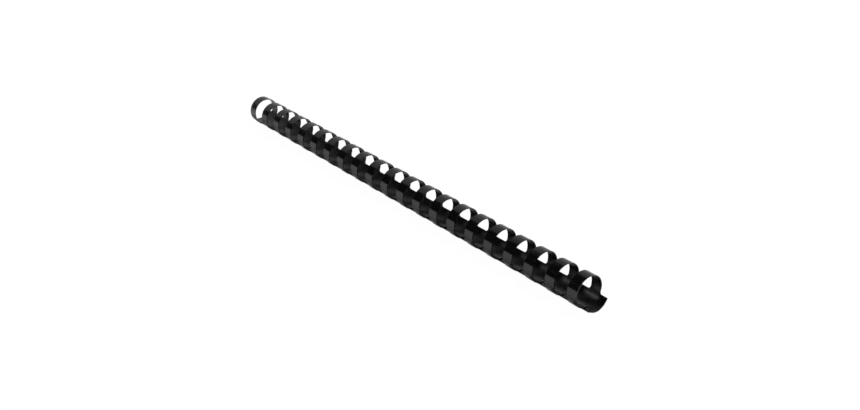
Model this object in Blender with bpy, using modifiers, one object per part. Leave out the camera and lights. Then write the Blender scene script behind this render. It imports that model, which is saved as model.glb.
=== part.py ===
"""Plastic binding comb, A4 size, with 21 rings.

The comb is one strip of PVC sheet, die-cut flat and heat-curled. It is modelled at rest, closed,
lying on its spine. X runs along the comb and +Z is up. The origin is below the middle ring, on the
surface that the comb lies on. The sheet is divided at the root of each finger, where it flexes.

Angles are in degrees round the rings' common axis, from +Y (the back) through +Z (the top), so the
front is 180. The spine lies below, between -106.5 and -24.5, which are also 253.5 and 335.5.
"""

import math

import bmesh
import bpy

# Along the comb, in metres.
RING_COUNT = 21
RING_PITCH = 0.0142875
END_MARGIN = 0.00785  # from the middle of an end ring to the end of the spine
FINGER_WIDTH = 0.0060

# The sheet and the rings.
SHEET = 0.00045
RING_RADIUS = 0.0083  # to the outer face
FLARE = 0.0004  # the spine's front edge is this much further out than its back edge
REST_DEPTH = 0.0084  # from the axis down to the flat that the comb rests on
FRONT_CORNER = 0.0028  # the radius of the spine's corners at its front edge
BACK_CORNER = 0.0003
ROOT_FILLET = 0.0012
TIP_CORNER = 0.0022

# Where the sheet begins and ends round the axis.
SPINE_FRONT = -106.5
SPINE_BACK = -24.5
TIP = 282.0
TAB_HEIGHT = 0.0015  # the root tabs stand this far above the spine's back edge
FLEX_GAP = 0.00045  # between a tab and its finger

# The finger curls inwards towards its tip, to pass inside the spine's front edge.
CURL_START = 230.0
TUCK = 0.0004  # how far inwards the finger is where it passes that edge
CURL_POWER = 1.2

ARC_STEP = 10.0
SPINE_STEP = 6.0
CORNER_STEPS = 3

DEGREES_PER_METRE = math.degrees(1) / RING_RADIUS
TAB_END = SPINE_BACK + TAB_HEIGHT * DEGREES_PER_METRE
FINGER_START = TAB_END + FLEX_GAP * DEGREES_PER_METRE
HINGE_ANGLE = (TAB_END + FINGER_START) / 2
SPINE_HALF = (RING_COUNT - 1) / 2 * RING_PITCH + END_MARGIN
RING_PLACES = [(i - (RING_COUNT - 1) / 2) * RING_PITCH for i in range(RING_COUNT)]


def clear_scene():
    for obj in list(bpy.data.objects):
        bpy.data.objects.remove(obj, do_unlink=True)


def pvc(name, roughness):
    """Black PVC, coloured through."""
    material = bpy.data.materials.new(name)
    material.use_nodes = True
    shader = material.node_tree.nodes["Principled BSDF"]
    shader.inputs["Base Color"].default_value = (0.014, 0.014, 0.015, 1.0)
    shader.inputs["Roughness"].default_value = roughness
    shader.inputs["Metallic"].default_value = 0.0
    return material


def place(x, angle, radius):
    """The point at this angle and radius round the rings' axis."""
    turn = math.radians(angle)
    return (x, radius * math.cos(turn), REST_DEPTH + radius * math.sin(turn))


def spine_radius(angle):
    """The outer face of the spine: flared towards its front edge, with a flat to rest on."""
    share = max(0.0, (SPINE_BACK - angle) / (SPINE_BACK - SPINE_FRONT))
    return min(RING_RADIUS + FLARE * share, REST_DEPTH / -math.sin(math.radians(angle)))


def finger_radius(angle):
    """The outer face of a finger: round, then a spiral that passes inside the spine."""
    share = max(0.0, (angle - CURL_START) / (SPINE_FRONT + 360 - CURL_START))
    return RING_RADIUS - TUCK * share**CURL_POWER


def rounding(radius):
    """Pairs (distance from the end, distance from the side) along a quarter circle, from the end."""
    turns = [math.pi / 2 * i / CORNER_STEPS for i in range(CORNER_STEPS + 1)]
    return [(radius * (1 - math.cos(t)), radius * (1 - math.sin(t))) for t in turns]


def even_angles(start, end, step):
    """Angles from start to end, both left out, in equal steps no longer than step."""
    count = math.ceil(abs(end - start) / step)
    return [start + (end - start) * i / count for i in range(1, count)]


def add_row(bm, angle, radius, places):
    """One row of points across the sheet."""
    return [bm.verts.new(place(x, angle, radius)) for x in places]


def join_rows(bm, rows):
    """A strip of faces through rows of points, facing away from the axis."""
    for lower, upper in zip(rows, rows[1:]):
        bm.faces.new(lower[::-1] + upper)


def sheet_object(name, bm, hinge, material, collection):
    """A sheet of even thickness whose outer face is the mesh in bm, with its origin at hinge."""
    bmesh.ops.translate(bm, verts=bm.verts, vec=[-c for c in hinge])
    mesh = bpy.data.meshes.new(name)
    bm.to_mesh(mesh)
    bm.free()
    mesh.materials.append(material)
    mesh.shade_smooth()
    mesh.set_sharp_from_angle(angle=math.radians(30))
    return link_sheet(name, mesh, hinge, collection)


def link_sheet(name, mesh, location, collection):
    obj = bpy.data.objects.new(name, mesh)
    obj.location = location
    collection.objects.link(obj)
    solidify = obj.modifiers.new("sheet", "SOLIDIFY")
    solidify.thickness = SHEET
    solidify.offset = -1
    solidify.use_even_offset = True
    return obj


def spine_rows(bm):
    """The strip from its front edge to its back edge, with the tabs' feet in the last row."""
    back = rounding(BACK_CORNER)
    profile = [(SPINE_FRONT + s * DEGREES_PER_METRE, inset) for s, inset in rounding(FRONT_CORNER)]
    back_start = SPINE_BACK - BACK_CORNER * DEGREES_PER_METRE
    for angle in even_angles(profile[-1][0], back_start, SPINE_STEP):
        profile.append((angle, 0.0))
    profile += [(SPINE_BACK - s * DEGREES_PER_METRE, inset) for s, inset in back[:0:-1]]
    rows = []
    for angle, inset in profile:
        half = SPINE_HALF - inset
        rows.append(add_row(bm, angle, spine_radius(angle), (-half, half)))

    half = SPINE_HALF - back[0][1]
    foot = FINGER_WIDTH / 2 + ROOT_FILLET
    places = [-half]
    for x in RING_PLACES:
        places += [x - foot, x + foot]
    places.append(half)
    rows.append(add_row(bm, SPINE_BACK, RING_RADIUS, places))
    return rows


def add_tab(bm, feet, x):
    """One root tab on its two feet, with a fillet on each side."""
    rows = [feet]
    for s, inset in rounding(ROOT_FILLET)[1:] + [(TAB_HEIGHT, 0.0)]:
        half = FINGER_WIDTH / 2 + inset
        angle = SPINE_BACK + s * DEGREES_PER_METRE
        rows.append(add_row(bm, angle, RING_RADIUS, (x - half, x + half)))
    join_rows(bm, rows)


def make_spine(material, collection):
    bm = bmesh.new()
    rows = spine_rows(bm)
    join_rows(bm, rows)
    feet = rows[-1][1:-1]
    for i, x in enumerate(RING_PLACES):
        add_tab(bm, feet[2 * i : 2 * i + 2], x)
    sheet_object("spine", bm, (0.0, 0.0, 0.0), material, collection)


def finger_mesh_rows(bm):
    """A finger's outer face, in the plane of the middle ring, from its root to its round tip."""
    half = FINGER_WIDTH / 2
    tip_radius = finger_radius(TIP)
    tip_degrees = math.degrees(1) / tip_radius
    tip_rows = [(TIP - s * tip_degrees, half - inset) for s, inset in rounding(TIP_CORNER)[::-1]]
    profile = [(FINGER_START, half), (0.0, half)]
    angle = ARC_STEP
    while angle < tip_rows[0][0] - ARC_STEP / 2:
        profile.append((angle, half))
        angle += ARC_STEP
    rows = []
    for angle, across in profile + tip_rows:
        rows.append(add_row(bm, angle, finger_radius(angle), (-across, across)))
    return rows


def make_fingers(material, collection):
    """The fingers share one mesh. Each has its origin on its own hinge."""
    _, hinge_y, hinge_z = place(0.0, HINGE_ANGLE, RING_RADIUS - SHEET / 2)
    bm = bmesh.new()
    join_rows(bm, finger_mesh_rows(bm))
    first = sheet_object("finger_01", bm, (0.0, hinge_y, hinge_z), material, collection)
    first.location.x = RING_PLACES[0]
    for number, x in enumerate(RING_PLACES[1:], start=2):
        link_sheet(f"finger_{number:02d}", first.data, (x, hinge_y, hinge_z), collection)


def main():
    clear_scene()
    comb = bpy.data.collections.new("binding_comb")
    bpy.context.scene.collection.children.link(comb)
    make_spine(pvc("spine_pvc", 0.25), comb)
    make_fingers(pvc("finger_pvc", 0.2), comb)


main()
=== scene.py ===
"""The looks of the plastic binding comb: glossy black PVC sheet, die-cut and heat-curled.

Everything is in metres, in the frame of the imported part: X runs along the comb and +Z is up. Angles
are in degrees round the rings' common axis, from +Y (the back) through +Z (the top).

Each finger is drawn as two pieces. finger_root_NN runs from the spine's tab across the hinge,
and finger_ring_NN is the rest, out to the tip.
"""

import math

import bmesh
import bpy
from mathutils import Matrix, Vector


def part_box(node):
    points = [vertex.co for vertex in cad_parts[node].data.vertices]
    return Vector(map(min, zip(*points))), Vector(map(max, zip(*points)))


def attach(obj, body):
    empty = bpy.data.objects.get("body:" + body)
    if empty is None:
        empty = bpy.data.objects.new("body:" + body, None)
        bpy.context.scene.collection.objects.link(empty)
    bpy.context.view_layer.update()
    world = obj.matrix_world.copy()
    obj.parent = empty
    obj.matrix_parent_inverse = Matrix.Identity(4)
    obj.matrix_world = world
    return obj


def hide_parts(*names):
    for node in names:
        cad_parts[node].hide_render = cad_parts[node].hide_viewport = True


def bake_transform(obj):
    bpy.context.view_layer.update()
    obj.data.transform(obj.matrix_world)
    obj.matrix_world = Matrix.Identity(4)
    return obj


# The comb, as in the part.
RING_COUNT = 21
RING_PITCH = 0.0142875
FINGER_WIDTH = 0.0060
SHEET = 0.00045
RING_RADIUS = 0.0083
FLARE = 0.0004
REST_DEPTH = 0.0084
FRONT_CORNER = 0.0028
BACK_CORNER = 0.0003
ROOT_FILLET = 0.0012
TIP_CORNER = 0.0022
SPINE_FRONT = -106.5
SPINE_BACK = -24.5
TIP = 282.0
TAB_HEIGHT = 0.0015
FLEX_GAP = 0.00045
CURL_START = 230.0
TUCK = 0.0004
CURL_POWER = 1.2

# The finer shape.
ROW_STEP = 2.5  # degrees between rows of points
SEAM_STEP = 0.5  # the same in a bend and beside a seam, so that the shading runs on
SEAM_ROWS = 4
CORNER_STEPS = 8
BACK_CORNER_STEPS = 3
EDGE_ROUND = 0.00013  # the die leaves this radius on the cut edges
EDGE_SEGMENTS = 3
OUTSIDE, CUT, INSIDE = range(3)  # the materials of a sheet
SEAM_TOLERANCE = 0.02  # degrees
CUT_FACING = 0.3  # a face is a cut edge where its normal is less than this much in or out

DEGREES_PER_METRE = math.degrees(1) / RING_RADIUS
HINGE = SPINE_BACK + (TAB_HEIGHT + FLEX_GAP / 2) * DEGREES_PER_METRE
BEND_START = SPINE_BACK + ROOT_FILLET * DEGREES_PER_METRE
BEND_END = 2 * HINGE - BEND_START
RING_PLACES = [(i - (RING_COUNT - 1) / 2) * RING_PITCH for i in range(RING_COUNT)]

# The surface of the PVC: roughly how many swells of each noise fit in a metre.
GLOSS_SCALE = 420.0
WAVE_SCALE = 110.0
GRAIN_SCALE = 3200.0
NOISE_LOW, NOISE_HIGH = 0.3, 0.7  # most of a noise's values lie between these

# The camera.
CAMERA_AZIMUTH = 50.65
CAMERA_ELEVATION = 24.91
CAMERA_DISTANCE = 0.5408
CAMERA_ROLL = 2.15
CAMERA_AIM = (0.03044, 0.0, REST_DEPTH - 0.00124)
LENS_MM = 42.66

# The floor. The camera sees it lit from below, as on a light table, apart from a narrow shadow line
# along the comb: the line's shape is painted by where the glow gives way, and inside it the paper shows
# its own lit shading.
FLOOR_RADIUS = 6.0
FLOOR_DROP = 0.00005  # below the comb
FLOOR_GLOW = 0.96  # the share of the glow away from the comb
GLOW_STRENGTH = 1.02
GLOW_FROM, GLOW_FULL = 0.0023, 0.0029  # the glow grows between these distances from the middle line
GLOW_LINE = 0.1465  # half the length of that line, under the comb
FINGER_PAINTED_SHADOW = 0.0005  # how much further out the glow starts in front of a finger: a painted shadow of each finger
SHADE_FULL, SHADE_END = 0.0028, 0.0045  # where that ends, from the finger's middle
SHADE_SHIFT = 0.0025  # how far those shadows are shifted towards -X
PAINTED_SHADE_TO, PAINTED_SHADE_END = 0.0080, 0.0160  # painted shade: as the comb mirrors it, the floor's colour is darker up to the first of these distances from it
PAINTED_SHADE_WHITE, PAPER_WHITE = 0.40, 0.86

# The room. Heights are sines of the elevation.
DARK_SIDE = (0.542, -0.780, 0.314)  # the room is dark round this direction, on the camera's side
DARK_EDGE = 0.03  # half the width of the soft edge between the dark side and the backdrop
DARK_LIGHT = 0.02
BACKDROP_LOW, LOW_LIGHT = 0.35, 0.52  # the backdrop's brightness up to this height
BACKDROP_HIGH, HIGH_LIGHT = 0.75, 0.38
BACKDROP_TOP = 0.80
TOP_FADE = 0.05


def place(x, angle, radius):
    turn = math.radians(angle)
    return Vector((x, radius * math.cos(turn), REST_DEPTH + radius * math.sin(turn)))


def spine_radius(angle):
    share = max(0.0, (SPINE_BACK - angle) / (SPINE_BACK - SPINE_FRONT))
    return min(RING_RADIUS + FLARE * share, REST_DEPTH / -math.sin(math.radians(angle)))


def finger_radius(angle):
    share = max(0.0, (angle - CURL_START) / (SPINE_FRONT + 360 - CURL_START))
    return RING_RADIUS - TUCK * share**CURL_POWER


def rounding(radius, steps=CORNER_STEPS):
    """Pairs (distance from the end, distance from the side) along a quarter circle, from the end."""
    turns = [math.pi / 2 * i / steps for i in range(steps + 1)]
    return [(radius * (1 - math.cos(t)), radius * (1 - math.sin(t))) for t in turns]


def even_angles(start, end, step):
    count = math.ceil(abs(end - start) / step)
    return [start + (end - start) * i / count for i in range(count + 1)]


def add_row(bm, angle, radius, places):
    return [bm.verts.new(place(x, angle, radius)) for x in places]


def join_rows(bm, rows):
    for lower, upper in zip(rows, rows[1:]):
        bm.faces.new(lower[::-1] + upper)


def angle_of(point):
    return math.degrees(math.atan2(point.z - REST_DEPTH, point.y))


def lies_on(face, seam):
    return all(abs(angle_of(v.co) - seam) < SEAM_TOLERANCE for v in face.verts)


def outward(point):
    return Vector((0.0, point.y, point.z - REST_DEPTH)).normalized()


def thicken(name, bm, seams, materials):
    """A sheet from its outer face, with rounded cut edges. Its ends at the seams stay square."""
    mesh = bpy.data.meshes.new(name + "_sheet")
    bm.to_mesh(mesh)
    bm.free()
    obj = bpy.data.objects.new(name, mesh)
    bpy.context.scene.collection.objects.link(obj)
    solidify = obj.modifiers.new("sheet", "SOLIDIFY")
    solidify.thickness = SHEET
    solidify.offset = -1
    solidify.use_even_offset = True
    apply_modifiers(obj)

    bm = bmesh.new()
    bm.from_mesh(obj.data)
    ends = [face for face in bm.faces if any(lies_on(face, seam) for seam in seams)]
    bmesh.ops.delete(bm, geom=ends, context="FACES_ONLY")
    for face in bm.faces:
        facing = face.normal.dot(outward(face.calc_center_median()))
        if abs(facing) < CUT_FACING:
            face.material_index = CUT
        elif facing < 0:
            face.material_index = INSIDE
    edges = [e for e in bm.edges if len({f.material_index for f in e.link_faces}) == 2]
    bmesh.ops.bevel(
        bm,
        geom=edges,
        offset=EDGE_ROUND,
        segments=EDGE_SEGMENTS,
        profile=0.5,
        affect="EDGES",
        clamp_overlap=True,
        material=CUT,
    )
    bmesh.ops.recalc_face_normals(bm, faces=bm.faces)
    bm.to_mesh(obj.data)
    bm.free()
    for material in materials:
        obj.data.materials.append(material)
    obj.data.shade_smooth()
    weighted = obj.modifiers.new("normals", "WEIGHTED_NORMAL")
    weighted.weight = 100
    weighted.keep_sharp = False
    apply_modifiers(obj)
    close_seams(obj.data)
    return obj


def close_seams(mesh):
    """A flat cap at each seam, behind sharp edges, so that the shading still runs on across it."""
    bm = bmesh.new()
    bm.from_mesh(mesh)
    rims = [e for e in bm.edges if e.is_boundary]
    for edge in rims:
        edge.smooth = False
    for face in bmesh.ops.holes_fill(bm, edges=rims, sides=0)["faces"]:
        face.smooth = False
        face.material_index = CUT
    bm.to_mesh(mesh)
    bm.free()


def apply_modifiers(obj):
    graph = bpy.context.evaluated_depsgraph_get()
    mesh = bpy.data.meshes.new_from_object(obj.evaluated_get(graph), depsgraph=graph)
    obj.modifiers.clear()
    old = obj.data
    obj.data = mesh
    bpy.data.meshes.remove(old)
    mesh.name = obj.name


def make_spine(half_length, materials):
    bm = bmesh.new()
    front = rounding(FRONT_CORNER)
    back = rounding(BACK_CORNER, BACK_CORNER_STEPS)
    profile = [(SPINE_FRONT + s * DEGREES_PER_METRE, inset) for s, inset in front[:-1]]
    middle_start = SPINE_FRONT + FRONT_CORNER * DEGREES_PER_METRE
    middle_end = SPINE_BACK - BACK_CORNER * DEGREES_PER_METRE
    profile += [(angle, 0.0) for angle in even_angles(middle_start, middle_end, ROW_STEP)]
    profile += [(SPINE_BACK - s * DEGREES_PER_METRE, inset) for s, inset in back[-2:0:-1]]
    rows = []
    for angle, inset in profile:
        half = half_length - inset
        rows.append(add_row(bm, angle, spine_radius(angle), (-half, half)))

    half = half_length - back[0][1]
    foot = FINGER_WIDTH / 2 + ROOT_FILLET
    places = [-half]
    for x in RING_PLACES:
        places += [x - foot, x + foot]
    places.append(half)
    rows.append(add_row(bm, SPINE_BACK, RING_RADIUS, places))
    join_rows(bm, rows)

    feet = rows[-1][1:-1]
    for i, x in enumerate(RING_PLACES):
        tab = [feet[2 * i : 2 * i + 2]]
        for s, inset in rounding(ROOT_FILLET)[1:]:
            across = FINGER_WIDTH / 2 + inset
            angle = SPINE_BACK + s * DEGREES_PER_METRE
            tab.append(add_row(bm, angle, RING_RADIUS, (x - across, x + across)))
        join_rows(bm, tab)
    return thicken("comb_spine", bm, [BEND_START], materials)


def make_root(number, x, materials):
    bm = bmesh.new()
    half = FINGER_WIDTH / 2
    angles = even_angles(BEND_START, BEND_END, SEAM_STEP)
    join_rows(bm, [add_row(bm, a, RING_RADIUS, (x - half, x + half)) for a in angles])
    return thicken(f"finger_root_{number:02d}", bm, [BEND_START, BEND_END], materials)


def make_ring(number, x, materials):
    bm = bmesh.new()
    half = FINGER_WIDTH / 2
    tip_degrees = math.degrees(1) / finger_radius(TIP)
    tip_rows = [(TIP - s * tip_degrees, half - inset) for s, inset in rounding(TIP_CORNER)[::-1]]
    angles = [BEND_END + i * SEAM_STEP for i in range(SEAM_ROWS)]
    angles += even_angles(BEND_END + SEAM_ROWS * SEAM_STEP, tip_rows[0][0], ROW_STEP)[:-1]
    profile = [(a, half) for a in angles] + tip_rows
    rows = [add_row(bm, a, finger_radius(a), (x - across, x + across)) for a, across in profile]
    join_rows(bm, rows)
    return thicken(f"finger_ring_{number:02d}", bm, [BEND_END], materials)


def add_node(tree, kind, inputs=None, **settings):
    node = tree.nodes.new(kind)
    for key, value in settings.items():
        setattr(node, key, value)
    for key, value in (inputs or {}).items():
        if isinstance(value, bpy.types.NodeSocket):
            tree.links.new(value, node.inputs[key])
        else:
            node.inputs[key].default_value = value
    return node


def combine(tree, operation, *values):
    inputs = dict(enumerate(values))
    return add_node(tree, "ShaderNodeMath", inputs, operation=operation).outputs["Value"]


def ramp(tree, value, start, end, low, high, shape="SMOOTHSTEP"):
    """The value mapped so that it is low up to start and high from end."""
    inputs = {"Value": value, "From Min": start, "From Max": end, "To Min": low, "To Max": high}
    return add_node(tree, "ShaderNodeMapRange", inputs, interpolation_type=shape).outputs["Result"]


def noise(tree, where, scale, detail):
    inputs = {"Vector": where, "Scale": scale, "Detail": detail}
    return add_node(tree, "ShaderNodeTexNoise", inputs).outputs["Fac"]


def pvc(name, colour, roughness, spread):
    """Black PVC whose gloss varies a little, with the faint waviness of a heated sheet."""
    material = bpy.data.materials.new(name)
    material.use_nodes = True
    tree = material.node_tree
    shader = tree.nodes["Principled BSDF"]
    shader.inputs["Base Color"].default_value = (*colour, 1.0)
    shader.inputs["IOR"].default_value = 1.53
    where = add_node(tree, "ShaderNodeTexCoord").outputs["Object"]
    cloudy = noise(tree, where, GLOSS_SCALE, detail=3.0)
    low, high = roughness - spread, roughness + spread
    gloss = ramp(tree, cloudy, NOISE_LOW, NOISE_HIGH, low, high, shape="LINEAR")
    tree.links.new(gloss, shader.inputs["Roughness"])
    swell = noise(tree, where, WAVE_SCALE, detail=1.0)
    waves = {"Height": swell, "Strength": 0.35, "Distance": 0.00012}
    waviness = add_node(tree, "ShaderNodeBump", waves).outputs["Normal"]
    speckle = noise(tree, where, GRAIN_SCALE, detail=2.0)
    grain = {"Height": speckle, "Strength": 0.15, "Distance": 0.00001, "Normal": waviness}
    bump = add_node(tree, "ShaderNodeBump", grain)
    tree.links.new(bump.outputs["Normal"], shader.inputs["Normal"])
    return material


def make_floor():
    bm = bmesh.new()
    bmesh.ops.create_circle(bm, cap_ends=True, segments=96, radius=FLOOR_RADIUS)
    mesh = bpy.data.meshes.new("floor")
    bm.to_mesh(mesh)
    bm.free()
    floor = bpy.data.objects.new("floor", mesh)
    bpy.context.scene.collection.objects.link(floor)
    floor.location.z = -FLOOR_DROP
    material = bpy.data.materials.new("floor_white")
    material.use_nodes = True
    tree = material.node_tree
    paper = tree.nodes["Principled BSDF"]
    paper.inputs["Roughness"].default_value = 0.8
    glow = add_node(tree, "ShaderNodeEmission", {"Color": (1, 1, 1, 1), "Strength": GLOW_STRENGTH})
    seen = add_node(tree, "ShaderNodeLightPath").outputs["Is Camera Ray"]
    where = add_node(tree, "ShaderNodeTexCoord").outputs["Object"]
    apart = add_node(tree, "ShaderNodeSeparateXYZ", {0: where}).outputs
    across = combine(tree, "ABSOLUTE", apart["Y"])
    beyond = combine(tree, "SUBTRACT", combine(tree, "ABSOLUTE", apart["X"]), GLOW_LINE)
    away = combine(tree, "MAXIMUM", across, beyond)
    # Painted shadow: the glow gives way along a line under the comb, further out in front of each
    # finger, so that a dark line shows there.
    shifted = combine(tree, "ADD", apart["X"], SHADE_SHIFT)
    from_finger = combine(tree, "PINGPONG", shifted, RING_PITCH / 2)
    shade = ramp(tree, from_finger, SHADE_FULL, SHADE_END, FINGER_PAINTED_SHADOW, 0.0)
    rise = ramp(tree, combine(tree, "SUBTRACT", away, shade), GLOW_FROM, GLOW_FULL, 0.0, FLOOR_GLOW)
    # Painted shade: the paper's colour darkens towards the comb, standing in for the comb's broad
    # shadow.
    tree.links.new(ramp(tree, away, PAINTED_SHADE_TO, PAINTED_SHADE_END, PAINTED_SHADE_WHITE, PAPER_WHITE), paper.inputs["Base Color"])
    share = combine(tree, "MULTIPLY", seen, rise)
    layers = {0: share, 1: paper.outputs["BSDF"], 2: glow.outputs["Emission"]}
    mix = add_node(tree, "ShaderNodeMixShader", layers)
    tree.links.new(mix.outputs["Shader"], tree.nodes["Material Output"].inputs["Surface"])
    mesh.materials.append(material)


def make_room():
    """A backdrop behind the comb and a dark room on the camera's side, as the comb mirrors them.

    The camera itself sees only white.
    """
    world = bpy.data.worlds.new("room")
    bpy.context.scene.world = world
    world.use_nodes = True
    tree = world.node_tree
    tree.nodes.clear()
    towards = add_node(tree, "ShaderNodeTexCoord").outputs["Generated"]
    side = add_node(tree, "ShaderNodeVectorMath", {0: towards, 1: DARK_SIDE}, operation="DOT_PRODUCT")
    behind = ramp(tree, side.outputs["Value"], -DARK_EDGE, DARK_EDGE, 1.0, 0.0)
    height = add_node(tree, "ShaderNodeSeparateXYZ", {0: towards}).outputs["Z"]
    fade = ramp(tree, height, BACKDROP_LOW, BACKDROP_HIGH, LOW_LIGHT, HIGH_LIGHT, shape="LINEAR")
    top = ramp(tree, height, BACKDROP_TOP - TOP_FADE, BACKDROP_TOP, 1.0, 0.0)
    backdrop = combine(tree, "MULTIPLY", combine(tree, "MULTIPLY", fade, top), behind)
    mirrored = combine(tree, "ADD", backdrop, DARK_LIGHT)
    seen = add_node(tree, "ShaderNodeLightPath").outputs["Is Camera Ray"]
    strength = combine(tree, "MAXIMUM", mirrored, seen)
    background = add_node(tree, "ShaderNodeBackground", {"Color": (1, 1, 1, 1), "Strength": strength})
    output = add_node(tree, "ShaderNodeOutputWorld")
    tree.links.new(background.outputs["Background"], output.inputs["Surface"])


def direction(azimuth, elevation):
    """The direction towards azimuth (0 is the front, -Y, and 90 is +X) and elevation."""
    a, e = math.radians(azimuth), math.radians(elevation)
    return Vector((math.sin(a) * math.cos(e), -math.cos(a) * math.cos(e), math.sin(e)))


def make_light(name, azimuth, elevation, distance, size, power):
    """A square softbox that faces the comb."""
    light = bpy.data.lights.new(name, "AREA")
    light.size = size
    light.energy = power
    obj = bpy.data.objects.new(name, light)
    bpy.context.scene.collection.objects.link(obj)
    obj.location = direction(azimuth, elevation) * distance
    obj.rotation_euler = direction(azimuth, elevation).to_track_quat("Z", "Y").to_euler()


def make_camera():
    back = direction(CAMERA_AZIMUTH, CAMERA_ELEVATION)
    level = direction(CAMERA_AZIMUTH + 90, 0.0)
    roll = math.radians(CAMERA_ROLL)
    right = level * math.cos(roll) + back.cross(level) * math.sin(roll)
    up = back.cross(right)
    data = bpy.data.cameras.new("camera")
    data.sensor_width = 36.0
    data.lens = LENS_MM
    data.clip_start = 0.01
    data.clip_end = 20.0
    camera = bpy.data.objects.new("camera", data)
    bpy.context.scene.collection.objects.link(camera)
    matrix = Matrix((right, up, back)).transposed().to_4x4()
    matrix.translation = Vector(CAMERA_AIM) + back * CAMERA_DISTANCE
    camera.matrix_world = matrix
    bpy.context.scene.camera = camera


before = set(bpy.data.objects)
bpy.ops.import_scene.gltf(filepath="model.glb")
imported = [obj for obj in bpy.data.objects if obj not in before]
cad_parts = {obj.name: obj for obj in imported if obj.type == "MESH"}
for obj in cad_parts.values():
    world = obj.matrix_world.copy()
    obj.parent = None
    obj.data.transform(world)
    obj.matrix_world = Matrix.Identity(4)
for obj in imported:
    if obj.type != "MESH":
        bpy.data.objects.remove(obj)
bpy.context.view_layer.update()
bpy.context.scene.view_settings.view_transform = "Standard"

materials = [
    pvc("pvc_outside", (0.0035, 0.0035, 0.0038), roughness=0.12, spread=0.03),
    pvc("pvc_cut_edge", (0.0045, 0.0045, 0.0048), roughness=0.09, spread=0.02),
    pvc("pvc_inside", (0.0040, 0.0040, 0.0043), roughness=0.31, spread=0.04),
]
half_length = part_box("spine")[1].x
spine = make_spine(half_length, materials)
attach(spine, "spine")
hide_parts("spine")
for number, x in enumerate(RING_PLACES, start=1):
    body = f"finger_{number:02d}"
    root = make_root(number, x, materials)
    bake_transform(root)
    ring = make_ring(number, x, materials)
    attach(ring, body)
    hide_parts(body)

make_floor()
make_room()
make_light("softbox_behind", azimuth=172.0, elevation=46.0, distance=1.6, size=1.2, power=34.0)
make_light("softbox_front", azimuth=-22.5, elevation=37.0, distance=2.4, size=0.34, power=10.0)
make_camera()
